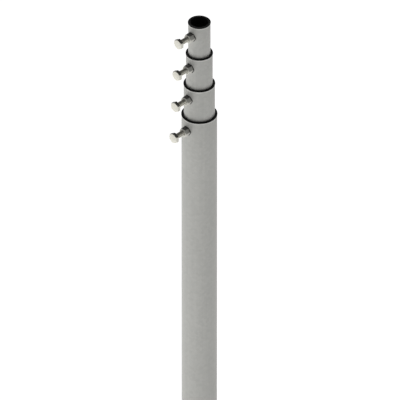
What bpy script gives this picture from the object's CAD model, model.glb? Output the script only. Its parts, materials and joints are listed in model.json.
"""Looks of the telescopic antenna mast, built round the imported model, in metres.

The mast's axis is Z, the base tube stands on z = 0, and every clamp screw points along -Y.
"""

import json
import math
from types import SimpleNamespace

import bmesh
import bpy
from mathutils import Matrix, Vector, noise


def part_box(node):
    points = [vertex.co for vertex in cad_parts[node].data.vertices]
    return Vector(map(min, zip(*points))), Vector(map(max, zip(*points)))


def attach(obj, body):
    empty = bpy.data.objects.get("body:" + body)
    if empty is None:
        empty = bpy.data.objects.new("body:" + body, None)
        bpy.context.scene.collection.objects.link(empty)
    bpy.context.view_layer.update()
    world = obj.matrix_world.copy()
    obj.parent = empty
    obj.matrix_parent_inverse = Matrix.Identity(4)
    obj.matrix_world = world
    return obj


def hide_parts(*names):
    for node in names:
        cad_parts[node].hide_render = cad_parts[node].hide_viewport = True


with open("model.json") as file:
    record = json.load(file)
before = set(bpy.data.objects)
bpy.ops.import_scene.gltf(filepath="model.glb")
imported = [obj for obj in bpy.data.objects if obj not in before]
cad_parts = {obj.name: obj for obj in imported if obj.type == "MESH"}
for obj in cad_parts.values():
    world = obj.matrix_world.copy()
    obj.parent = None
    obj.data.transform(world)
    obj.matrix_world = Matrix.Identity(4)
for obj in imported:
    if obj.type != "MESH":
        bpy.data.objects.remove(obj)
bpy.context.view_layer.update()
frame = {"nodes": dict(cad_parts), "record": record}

MM = 0.001
SECTIONS = ("base", "lower", "upper", "top")

# ---------------------------------------------------------------- sizes

mounts = {m["name"]: m for m in frame["record"]["mounts"]}
socket_r = mounts["antenna_socket"]["dims"]["r_mm"] * MM
tube_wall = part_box("base_tube")[1].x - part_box("base_plug")[1].x
tube_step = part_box("base_tube")[1].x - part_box("lower_tube")[1].x
stub_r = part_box("top_tube")[1].x - tube_step
bushing_gap = socket_r - stub_r

# What no box tells of the 5/16 inch clamp screws and their nuts
SCREW_R = 7.9375 / 2 * MM
THREAD_PITCH = 25.4 / 18 * MM
THREAD_DEPTH = 0.61 * THREAD_PITCH
THREAD_GAP = 0.08 * MM
HEAD_HEIGHT = 5.3 * MM


def section_sizes(name):
    """The radii and heights of one section's pieces, read from its CAD nodes.

    The nut's flats face up and down, and the screw head's flats face sideways.
    """
    tube_low, tube_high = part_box(f"{name}_tube")
    bush_low, bush_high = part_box(f"{name}_guide_bushing")
    nut_low, nut_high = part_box(f"{name}_clamp_nut")
    screw_low, screw_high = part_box(f"{name}_clamp_screw")
    return SimpleNamespace(
        name=name,
        tube_r=tube_high.x,
        tube_bore_r=tube_high.x - tube_wall,
        guide_bore_r=tube_high.x - tube_step + bushing_gap,
        foot_z=tube_low.z,
        rim_z=tube_high.z,
        flange_r=bush_high.x,
        flange_top=bush_high.z,
        sleeve_foot=bush_low.z,
        clamp_z=(screw_low.z + screw_high.z) / 2,
        nut_af=nut_high.z - nut_low.z,
        nut_face=-nut_low.y,
        head_af=screw_high.x - screw_low.x,
        head_face=-screw_low.y,
        screw_tip=-screw_high.y,
    )


sections = [section_sizes(name) for name in SECTIONS]

# ---------------------------------------------------------------- meshes

TUBE_SIDES = 144  # so many that the facets don't show
ROUNDING_STEPS = 3


def circle(sides):
    """The angles of points spaced evenly round a circle."""
    return [2 * math.pi * k / sides for k in range(sides)]


def face_outward(mesh):
    """Turns the faces of a closed mesh to point out of it."""
    build = bmesh.new()
    build.from_mesh(mesh)
    if build.calc_volume(signed=True) < 0:
        bmesh.ops.reverse_faces(build, faces=build.faces)
    build.to_mesh(mesh)
    build.free()


def skin(name, rings, capped=False, sharp_degrees=35):
    """A smooth mesh through rings of as many points each, capped at its ends or else looped."""
    sides = len(rings[0])
    points = [p for ring in rings for p in ring]
    bands = len(rings) - 1 if capped else len(rings)
    faces = []
    for band in range(bands):
        here, there = band * sides, (band + 1) % len(rings) * sides
        for k in range(sides):
            right = (k + 1) % sides
            faces.append((here + k, here + right, there + right, there + k))
    if capped:
        faces.append(list(range(sides))[::-1])
        faces.append(list(range(len(points) - sides, len(points))))
    mesh = bpy.data.meshes.new(name)
    mesh.from_pydata(points, [], faces)
    face_outward(mesh)
    for polygon in mesh.polygons:
        polygon.use_smooth = True
    mesh.set_sharp_from_angle(angle=math.radians(sharp_degrees))
    piece = bpy.data.objects.new(name, mesh)
    bpy.context.scene.collection.objects.link(piece)
    return piece


def join(name, pieces):
    """One named object of several."""
    for o in bpy.context.selected_objects:
        o.select_set(False)
    for o in pieces:
        o.select_set(True)
    bpy.context.view_layer.objects.active = pieces[0]
    bpy.ops.object.join()
    pieces[0].name = name
    pieces[0].data.name = name
    return pieces[0]


def turned(name, outline):
    """A closed ring round the mast's axis, from its outline of (radius, height)."""
    rings = [[(r * math.cos(a), r * math.sin(a), z) for a in circle(TUBE_SIDES)] for r, z in outline]
    return skin(name, rings)


def rounded(corner, before, after, radius):
    """The points of a rounded corner of an outline, between its two straight sides."""
    c, b, a = Vector(corner), Vector(before), Vector(after)
    start = c + (b - c).normalized() * radius
    end = c + (a - c).normalized() * radius
    curve = []
    for k in range(ROUNDING_STEPS + 1):
        t = k / ROUNDING_STEPS
        curve.append(tuple((1 - t) ** 2 * start + 2 * t * (1 - t) * c + t**2 * end))
    return curve


def round_outline(corners):
    """An outline with each corner of ((r, z), rounding) rounded."""
    points = []
    for k, (corner, radius) in enumerate(corners):
        before, after = corners[k - 1][0], corners[(k + 1) % len(corners)][0]
        points += rounded(corner, before, after, radius) if radius else [corner]
    return points


def round_screw_axis(s, sides, outline):
    """Rings round section s's screw axis.

    outline(angle) lists the (radius, out) of each ring's point at an angle, where out is the
    distance from the mast's axis.
    """
    columns = [
        [(radius * math.cos(a), -out, s.clamp_z + radius * math.sin(a)) for radius, out in outline(a)]
        for a in circle(sides)
    ]
    return list(zip(*columns))


def saddle(s, radius, angle):
    """How far out section s's tube lies at a point round its screw axis."""
    return math.sqrt(s.tube_r**2 - (radius * math.cos(angle)) ** 2)


# ---------------------------------------------------------------- tubes and bushings

TUBE_EDGE = 0.35 * MM
TUBE_ROWS = 24


def tube(s):
    """The drawn tube, with its cut ends deburred."""
    low, high = s.foot_z, s.rim_z
    outside = [(s.tube_r, low + (high - low) * k / TUBE_ROWS) for k in range(1, TUBE_ROWS)]
    inside = [(s.tube_bore_r, z) for _, z in reversed(outside)]
    corners = [
        ((s.tube_r, low), (s.tube_bore_r, low), (s.tube_r, high)),
        ((s.tube_r, high), (s.tube_r, low), (s.tube_bore_r, high)),
        ((s.tube_bore_r, high), (s.tube_r, high), (s.tube_bore_r, low)),
        ((s.tube_bore_r, low), (s.tube_bore_r, high), (s.tube_r, low)),
    ]
    ends = [rounded(*corner, TUBE_EDGE) for corner in corners]
    outline = ends[0] + outside + ends[1] + ends[2] + inside + ends[3]
    return turned(f"{s.name}_tube_drawn", outline)


def bushing(s):
    """The moulded bushing: a sleeve in the tube's mouth under a rounded flange."""
    sleeve_edge = 0.3 * MM
    under_lip = 0.2 * MM
    lip = 0.45 * MM
    lead_in = 0.5 * MM
    outline = round_outline([
        ((s.guide_bore_r, s.sleeve_foot), sleeve_edge),
        ((s.tube_bore_r, s.sleeve_foot), sleeve_edge),
        ((s.tube_bore_r, s.rim_z), 0),
        ((s.flange_r, s.rim_z), under_lip),
        ((s.flange_r, s.flange_top), lip),
        ((s.guide_bore_r, s.flange_top), lead_in),
    ])
    return turned(f"{s.name}_bushing_moulded", outline)


# ---------------------------------------------------------------- nuts

HEX_SIDES = 96  # a multiple of 12, so that corners and flats have points of their own
CHAMFER_SLOPE = math.tan(math.radians(30))
TURNED_SHARE = 0.96  # radius at which a hexagon's chamfer starts, over its radius at the flats

NUT_CORNER_ANGLE = 0.0
NUT_CORNER_CUT = 0.15 * MM


def hex_radius(angle, af, corner_angle, corner_cut):
    """Radius at an angle of a hexagon with one corner at corner_angle, its corners cut back."""
    turn = (angle - corner_angle) % (math.pi / 3) - math.pi / 6
    return min(af / 2 / math.cos(turn), af / math.sqrt(3) - corner_cut)


def nut(s):
    """The hexagonal nut, chamfered outside and in, its foot coped to the tube."""
    bore_r = SCREW_R + THREAD_GAP
    bore_chamfer = 0.7 * MM
    turned_r = TURNED_SHARE * s.nut_af / 2
    edge = 0.2 * MM

    def outline(angle):
        side = hex_radius(angle, s.nut_af, NUT_CORNER_ANGLE, NUT_CORNER_CUT)
        shoulder = s.nut_face - (side - turned_r) * CHAMFER_SLOPE
        return [
            (bore_r, saddle(s, bore_r, angle)),
            (bore_r, s.nut_face - bore_chamfer),
            (bore_r + bore_chamfer, s.nut_face),
            (turned_r - edge, s.nut_face),
            (turned_r + edge, s.nut_face - 1.5 * edge * CHAMFER_SLOPE),
            (side - edge / 2, shoulder + edge / 4),
            (side, shoulder - edge),
            (side, saddle(s, side, angle)),
        ]

    body = skin(f"{s.name}_nut_body", round_screw_axis(s, HEX_SIDES, outline))
    return join(f"{s.name}_nut_welded", [body, weld_bead(s)])


BEAD_LEG = 0.8 * MM
BEAD_SIDES = 288
BEAD_RINGS = 7
BEAD_RIPPLES = 46
BEAD_RIPPLE = 0.10  # how much a ripple swells the bead
BEAD_WANDER = 0.22  # how much its size wanders round the nut
BEAD_CORNER_CUT = 0.5 * MM  # more than the nut's, so that the bead runs round its corners
BEAD_OVERLAP = 0.1 * MM  # how far the bead reaches into the nut's sides
BEAD_SINK = 0.05 * MM  # how far its toe lies under the tube's surface
BEAD_ROOT = 0.3 * MM  # how deep its root is buried in the nut and in the tube
BEAD_FLATNESS = 1.15  # 1 is a quarter circle, and 2 a straight fillet


def weld_bead(s):
    """The rippled fillet weld that runs round the nut's foot, uneven in its own way on each section."""
    own_place = 40 * s.tube_r

    def outline(angle):
        uneven = noise.noise(Vector((math.cos(angle), math.sin(angle), own_place)) * 1.7)
        ripple = abs(math.sin(BEAD_RIPPLES / 2 * angle + 1.5 * uneven))
        leg = BEAD_LEG * (1 + BEAD_WANDER * uneven + BEAD_RIPPLE * ripple)
        foot_r = hex_radius(angle, s.nut_af, NUT_CORNER_ANGLE, BEAD_CORNER_CUT)
        points = []
        for k in range(BEAD_RINGS):
            around = math.pi / 2 * (k / (BEAD_RINGS - 1))
            radius = foot_r - BEAD_OVERLAP + leg * math.sin(around) ** BEAD_FLATNESS
            rise = leg * math.cos(around) ** BEAD_FLATNESS
            points.append((radius, saddle(s, radius, angle) + rise - BEAD_SINK))
        root_r = foot_r - BEAD_ROOT
        points.append((root_r, saddle(s, root_r, angle) - BEAD_ROOT))
        return points

    return skin(f"{s.name}_bead", round_screw_axis(s, BEAD_SIDES, outline), sharp_degrees=60)


# ---------------------------------------------------------------- screws

HEAD_CORNER_ANGLE = math.pi / 6
HEAD_CORNER_CUT = 0.12 * MM
HEX_CORNERS_TO_FLATS = 2 / math.sqrt(3)  # a hexagon's width at its corners over that at its flats
WASHER_SHARE = 0.94  # radius of the head's washer face, over its radius at the flats
WASHER_HEIGHT = 0.4 * MM

THREAD_SIDES = 48
THREAD_OUTLINE = (1.0, 1.0, 0.55, 0.1, 0.0, 0.1, 0.55, 1.0)  # a flat crest, two flanks, a round root
POINTS_PER_TURN = len(THREAD_OUTLINE)
THREAD_SQUEEZE = 0.001  # not 0, so that no two rings lie in one place
TIP_BEVEL = 1.0 * MM


def thread_radius(step):
    """Radius of the thread at a step of its turn."""
    return SCREW_R - THREAD_DEPTH * (1 - THREAD_OUTLINE[step % POINTS_PER_TURN])


def squeezed(along, length):
    """A place along the thread, with what runs past its two ends squeezed to nearly nothing."""
    inside = min(max(along, 0), length)
    return inside + THREAD_SQUEEZE * (along - inside)


def threaded_shank(s, seat):
    """A right-hand thread from the screw's bevelled tip to its head. Its rings climb with the helix."""
    length = seat - s.screw_tip
    turns = length / THREAD_PITCH
    steps = range(-POINTS_PER_TURN, int((turns + 1) * POINTS_PER_TURN))

    def outline(angle):
        points = []
        for step in steps:
            along = (step / POINTS_PER_TURN + angle / (2 * math.pi)) * THREAD_PITCH
            along = squeezed(along, length)
            radius = min(thread_radius(step), SCREW_R - TIP_BEVEL + along)
            points.append((radius, s.screw_tip + along))
        return points

    rings = round_screw_axis(s, THREAD_SIDES, outline)
    return skin(f"{s.name}_shank", rings, capped=True, sharp_degrees=50)


def screw(s):
    """The hex-headed screw, with a washer face under its head and the corners turned off its end."""
    seat = s.head_face - HEAD_HEIGHT
    root_r = SCREW_R - THREAD_DEPTH
    washer_r = WASHER_SHARE * s.head_af / 2
    washer_top = seat + WASHER_HEIGHT
    turned_r = TURNED_SHARE * s.head_af / 2
    edge = 0.22 * MM

    def outline(angle):
        side = hex_radius(angle, s.head_af, HEAD_CORNER_ANGLE, HEAD_CORNER_CUT)
        shoulder = s.head_face - (side - turned_r) * CHAMFER_SLOPE
        return [
            (root_r, seat),
            (washer_r, seat),
            (washer_r, washer_top),
            (side - edge, washer_top),
            (side, washer_top + edge),
            (side, shoulder - edge),
            (side - edge, shoulder + edge / 4),
            (turned_r + edge, s.head_face - 1.2 * edge * CHAMFER_SLOPE),
            (turned_r - 2 * edge, s.head_face),
        ]

    head = skin(f"{s.name}_head", round_screw_axis(s, HEX_SIDES, outline), capped=True)
    return join(f"{s.name}_screw_threaded", [head, threaded_shank(s, seat)])


# ---------------------------------------------------------------- materials

ZINC_GREY = (0.39, 0.39, 0.37)
WELD_GREY = (0.52, 0.515, 0.475)
PLATED_WHITE = (0.69, 0.675, 0.605)
NYLON_BLACK = (0.004, 0.004, 0.004)

# Factors by which parts of a surface are darker or lighter than its colour
RING_GRIME = 0.72  # round a tube at its foot and where it leaves the tube around it
SETTLED_GRIME = 0.1  # on what faces up on nuts and screws
BURNT = 0.06
DARK_INSIDE = 0.04
SEAM_SHADE = 0.86
BARE_RIM = 1.3


class Nodes:
    """A material's node tree, built up by short calls."""

    def __init__(self, name):
        self.material = bpy.data.materials.new(name)
        self.material.use_nodes = True
        self.tree = self.material.node_tree
        self.shader = self.tree.nodes["Principled BSDF"]
        coordinates = self.add("ShaderNodeTexCoord").outputs
        self.place = coordinates["Object"]
        self.share_of_box = coordinates["Generated"]
        self.normal = coordinates["Normal"]

    def add(self, kind, inputs=None, **settings):
        node = self.tree.nodes.new(kind)
        for key, value in settings.items():
            setattr(node, key, value)
        for key, value in (inputs or {}).items():
            self.put(node.inputs[key], value)
        return node

    def put(self, socket, value):
        if isinstance(value, bpy.types.NodeSocket):
            self.tree.links.new(value, socket)
        else:
            socket.default_value = value

    def math(self, operation, a, b=0.0):
        return self.add("ShaderNodeMath", {0: a, 1: b}, operation=operation).outputs[0]

    def stretched(self, source, scale):
        return self.add("ShaderNodeMapping", {"Vector": source, "Scale": scale}).outputs["Vector"]

    def length(self, vector):
        return self.add("ShaderNodeVectorMath", {0: vector}, operation="LENGTH").outputs["Value"]

    def noise(self, vector, scale, detail):
        inputs = {"Vector": vector, "Scale": scale, "Detail": detail}
        return self.add("ShaderNodeTexNoise", inputs).outputs["Fac"]

    def remap(self, value, low, high, to_low, to_high, smooth=False):
        inputs = {"Value": value, "From Min": low, "From Max": high, "To Min": to_low, "To Max": to_high}
        kind = "SMOOTHSTEP" if smooth else "LINEAR"
        return self.add("ShaderNodeMapRange", inputs, interpolation_type=kind).outputs["Result"]

    def varied(self, texture, low, high):
        """A noise texture's usual values, 0.3 to 0.7, spread from low to high."""
        return self.remap(texture, 0.3, 0.7, low, high)

    def from_axis(self):
        """Distance from the mast's axis."""
        return self.length(self.stretched(self.place, (1.0, 1.0, 0.0)))

    def settled(self):
        """The factor by which grime darkens what faces up."""
        up = self.add("ShaderNodeSeparateXYZ", {"Vector": self.normal}).outputs["Z"]
        return self.remap(up, 0.25, 0.75, 1.0, SETTLED_GRIME, smooth=True)

    def tinted(self, color, *factors):
        """A colour multiplied by each of some grey factors."""
        shade = factors[0]
        for factor in factors[1:]:
            shade = self.math("MULTIPLY", shade, factor)
        inputs = {0: color, "Scale": shade}
        return self.add("ShaderNodeVectorMath", inputs, operation="SCALE").outputs["Vector"]

    def bump(self, height, distance, strength):
        inputs = {"Height": height, "Distance": distance, "Strength": strength}
        return self.add("ShaderNodeBump", inputs).outputs["Normal"]

    def finish(self, **sockets):
        """Sets the shader's sockets, named with _ for a space, and returns the material."""
        for name, value in sockets.items():
            self.put(self.shader.inputs[name.replace("_", " ")], value)
        return self.material


def galvanised(s, outer_rim_z):
    """Galvanised tube: fine spangle, faint draw lines, a weld seam at the back and a deburred rim.

    It is dark inside, and grime gathers on it at outer_rim_z, where it leaves the tube around it.
    """
    n = Nodes(f"galvanised_{s.name}")
    x, y, z = n.add("ShaderNodeSeparateXYZ", {"Vector": n.place}).outputs
    cells = n.add("ShaderNodeTexVoronoi", {"Vector": n.place, "Scale": 260.0})
    spangle = n.add("ShaderNodeSeparateColor", {"Color": cells.outputs["Color"]}).outputs["Red"]
    clouds = n.noise(n.stretched(n.place, (9.0, 9.0, 3.0)), 1.0, 4.0)
    draw_lines = n.noise(n.stretched(n.place, (900.0, 900.0, 2.2)), 1.0, 2.0)
    streaks = n.noise(n.stretched(n.place, (220.0, 220.0, 0.9)), 1.0, 3.0)
    near_seam = n.remap(n.math("ABSOLUTE", x), 0.3 * MM, 0.9 * MM, 1.0, 0.0)
    seam = n.math("MULTIPLY", near_seam, n.math("GREATER_THAN", y, 0.0))
    shade = [
        n.remap(spangle, 0.0, 1.0, 0.95, 1.05),
        n.varied(clouds, 0.955, 1.04),
        n.varied(draw_lines, 0.98, 1.02),
        n.varied(streaks, 0.975, 1.025),
        n.remap(seam, 0.0, 1.0, 1.0, SEAM_SHADE),
        n.remap(z, s.rim_z - 2.4 * MM, s.rim_z - 1.6 * MM, 1.0, BARE_RIM, smooth=True),
        n.remap(z, s.foot_z, s.foot_z + 4 * MM, RING_GRIME, 1.0, smooth=True),
    ]
    if outer_rim_z is not None:
        wander = n.varied(streaks, -1.5 * MM, 1.5 * MM)
        above_rim = n.math("ADD", n.math("SUBTRACT", z, outer_rim_z), wander)
        above = n.remap(above_rim, 0.0, 7 * MM, RING_GRIME, 1.0, smooth=True)
        below = n.remap(above_rim, -4 * MM, 0.0, 1.0, RING_GRIME, smooth=True)
        shade.append(n.math("MAXIMUM", above, below))
    wall_middle = (s.tube_r + s.tube_bore_r) / 2
    shade.append(n.remap(n.from_axis(), wall_middle, wall_middle + 0.1 * MM, DARK_INSIDE, 1.0))
    height = n.math("ADD", n.math("MULTIPLY", spangle, 0.35), n.math("MULTIPLY", draw_lines, 0.65))
    return n.finish(
        Base_Color=n.tinted(ZINC_GREY, *shade),
        Metallic=0.2,
        Roughness=n.remap(spangle, 0.0, 1.0, 0.42, 0.52),
        Specular_IOR_Level=0.4,
        Normal=n.bump(height, 0.03 * MM, 0.6),
    )


def weld_metal(s):
    """Dull zinc on the nut, and a grainy weld bead round its foot, burnt dark."""
    n = Nodes(f"weld_{s.name}")
    grain = n.noise(n.place, 1400.0, 4.0)
    blotch = n.noise(n.place, 260.0, 3.0)
    out = n.math("ADD", n.from_axis(), n.varied(blotch, -0.3 * MM, 0.3 * MM))
    burnt = n.remap(out, s.tube_r + 0.7 * MM, s.tube_r + 1.5 * MM, BURNT, 1.0, smooth=True)
    shade = [n.varied(grain, 0.92, 1.06), n.varied(blotch, 0.9, 1.05), burnt, n.settled()]
    return n.finish(
        Base_Color=n.tinted(WELD_GREY, *shade),
        Metallic=0.1,
        Specular_IOR_Level=0.3,
        Roughness=n.varied(blotch, 0.45, 0.62),
        Normal=n.bump(grain, 0.05 * MM, 0.7),
    )


def zinc_plate():
    """Bright zinc plate: a light satin with turning marks on the head's end."""
    n = Nodes("zinc_screw")
    centred = {0: n.share_of_box, 1: (0.5, 0.0, 0.5)}
    across = n.add("ShaderNodeVectorMath", centred, operation="SUBTRACT").outputs["Vector"]
    from_screw_axis = n.length(n.stretched(across, (1.0, 0.0, HEX_CORNERS_TO_FLATS)))
    marks = n.math("SINE", n.math("MULTIPLY", from_screw_axis, 260.0))
    grain = n.noise(n.place, 900.0, 4.0)
    blotch = n.noise(n.place, 180.0, 2.0)
    height = n.math("ADD", n.math("MULTIPLY", marks, 0.3), grain)
    shade = [n.varied(grain, 0.97, 1.03), n.varied(blotch, 0.95, 1.03), n.settled()]
    return n.finish(
        Base_Color=n.tinted(PLATED_WHITE, *shade),
        Metallic=0.1,
        Roughness=n.varied(blotch, 0.3, 0.42),
        Specular_IOR_Level=0.15,
        Normal=n.bump(height, 0.015 * MM, 0.6),
    )


def black_nylon():
    """Moulded black plastic: a fine matte texture, worn a little shinier in places."""
    n = Nodes("black_plastic")
    texture = n.noise(n.place, 2600.0, 2.0)
    rubbed = n.noise(n.place, 120.0, 3.0)
    return n.finish(
        Base_Color=n.tinted(NYLON_BLACK, n.varied(rubbed, 0.8, 1.25)),
        Metallic=0.0,
        Roughness=n.varied(rubbed, 0.55, 0.75),
        Specular_IOR_Level=0.08,
        Normal=n.bump(texture, 0.02 * MM, 0.5),
    )


# ---------------------------------------------------------------- the mast


def paint(piece, material):
    """Gives a piece its material and slot."""
    piece.data.materials.clear()
    piece.data.materials.append(material)


def dress(piece, material, body, node):
    """Paints a piece, and puts it on its body in place of its CAD node."""
    paint(piece, material)
    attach(piece, body)
    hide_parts(node)


plate_material = zinc_plate()
nylon_material = black_nylon()

for k, s in enumerate(sections):
    outer_rim = sections[k - 1].flange_top if k else None
    body = f"{s.name}_section"
    dress(tube(s), galvanised(s, outer_rim), body, f"{s.name}_tube")
    dress(bushing(s), nylon_material, body, f"{s.name}_guide_bushing")
    dress(nut(s), weld_metal(s), body, f"{s.name}_clamp_nut")
    dress(screw(s), plate_material, f"{s.name}_screw", f"{s.name}_clamp_screw")

for node in ["base_plug"] + [f"{name}_foot_guide" for name in SECTIONS[1:]]:
    paint(frame["nodes"][node], nylon_material)

# ---------------------------------------------------------------- floor, light and camera

WHITE = (1.0, 1.0, 1.0, 1.0)
FLOOR_GREY = (0.8, 0.8, 0.8, 1.0)
FLOOR_GLOW = 0.83
FLOOR_RADIUS = 120.0
FLOOR_SIDES = 96


def white_floor():
    """A pale floor that glows like a light table: white to the camera, but for a soft shadow."""
    bpy.ops.mesh.primitive_circle_add(vertices=FLOOR_SIDES, radius=FLOOR_RADIUS, fill_type="NGON")
    floor = bpy.context.object
    floor.name = "floor"
    floor.visible_shadow = False
    material = bpy.data.materials.new("floor")
    material.use_nodes = True
    shader = material.node_tree.nodes["Principled BSDF"]
    shader.inputs["Base Color"].default_value = FLOOR_GREY
    shader.inputs["Roughness"].default_value = 0.9
    shader.inputs["Specular IOR Level"].default_value = 0.0
    shader.inputs["Emission Color"].default_value = WHITE
    shader.inputs["Emission Strength"].default_value = FLOOR_GLOW
    floor.data.materials.append(material)
    return floor


def white_world(horizon, zenith):
    """White to the camera and in reflections. As light, it is dimmer, and dimmest overhead."""
    world = bpy.data.worlds.new("studio")
    bpy.context.scene.world = world
    world.use_nodes = True
    tree = world.node_tree
    background = tree.nodes["Background"]
    background.inputs["Color"].default_value = WHITE
    coordinates = tree.nodes.new("ShaderNodeTexCoord")
    split = tree.nodes.new("ShaderNodeSeparateXYZ")
    tree.links.new(coordinates.outputs["Generated"], split.inputs["Vector"])
    sky = tree.nodes.new("ShaderNodeMapRange")
    sky.inputs["To Min"].default_value = horizon
    sky.inputs["To Max"].default_value = zenith
    tree.links.new(split.outputs["Z"], sky.inputs["Value"])
    path = tree.nodes.new("ShaderNodeLightPath")
    strength = tree.nodes.new("ShaderNodeMapRange")
    strength.inputs["To Min"].default_value = 1.0
    tree.links.new(path.outputs["Is Diffuse Ray"], strength.inputs["Value"])
    tree.links.new(sky.outputs["Result"], strength.inputs["To Max"])
    tree.links.new(strength.outputs["Result"], background.inputs["Strength"])


def direction(azimuth, elevation):
    """The unit vector towards a place seen from the mast. Azimuth 0 is -Y and 90 is +X."""
    a, e = math.radians(azimuth), math.radians(elevation)
    return Vector((math.sin(a) * math.cos(e), -math.cos(a) * math.cos(e), math.sin(e)))


def sun(name, azimuth, elevation, strength, softness, glossy=True, lights_only=None):
    """A soft distant lamp, which may show in reflections or not, and may light one object alone."""
    light = bpy.data.lights.new(name, "SUN")
    light.energy = strength
    light.angle = math.radians(softness)
    lamp = bpy.data.objects.new(name, light)
    lamp.visible_glossy = glossy
    lamp.rotation_mode = "QUATERNION"
    lamp.rotation_quaternion = direction(azimuth, elevation).to_track_quat("Z", "Y")
    bpy.context.scene.collection.objects.link(lamp)
    if lights_only:
        receivers = bpy.data.collections.new(f"{name}_receivers")
        receivers.objects.link(lights_only)
        lamp.light_linking.receiver_collection = receivers


# The camera looks down on the mast's front right, as in an isometric drawing, through a long lens
VIEW_AZIMUTH = 45.0
VIEW_ELEVATION = math.degrees(math.atan(1 / math.sqrt(2)))
LENS_MM = 1500.0
SENSOR_MM = 36.0
VIEW_WIDTH = 570.6 * MM  # what the picture's width spans at the mast
AIM_BELOW_RIM = 150.2 * MM  # from the base tube's rim down to the picture's middle
AIM_RIGHT = 0.96 * MM


def isometric_camera():
    data = bpy.data.cameras.new("camera")
    data.lens = LENS_MM
    data.sensor_width = SENSOR_MM
    back = direction(VIEW_AZIMUTH, VIEW_ELEVATION)
    right = direction(VIEW_AZIMUTH + 90, 0)
    aim = Vector((0, 0, sections[0].rim_z - AIM_BELOW_RIM)) + AIM_RIGHT * right
    camera = bpy.data.objects.new("camera", data)
    distance = VIEW_WIDTH * LENS_MM / SENSOR_MM
    camera.location = aim + back * distance
    camera.rotation_mode = "QUATERNION"
    camera.rotation_quaternion = back.to_track_quat("Z", "Y")
    data.clip_start = 0.1
    data.clip_end = 4 * distance
    bpy.context.scene.collection.objects.link(camera)
    bpy.context.scene.camera = camera


white_world(horizon=0.15, zenith=0.08)
sun("key", azimuth=-60.0, elevation=-15.0, strength=0.75, softness=40.0)
sun("low", azimuth=-30.0, elevation=-45.0, strength=1.3, softness=20.0, glossy=False)
sun("front", azimuth=35.0, elevation=-25.0, strength=0.75, softness=40.0, glossy=False)
sun("back_right", azimuth=135.0, elevation=-10.0, strength=0.08, softness=40.0)
sun("back_left", azimuth=-150.0, elevation=-10.0, strength=0.3, softness=40.0)
floor = white_floor()
sun("floor_light", azimuth=-60.0, elevation=65.0, strength=0.55, softness=25.0, lights_only=floor)
isometric_camera()
bpy.context.scene.view_settings.view_transform = "Standard"
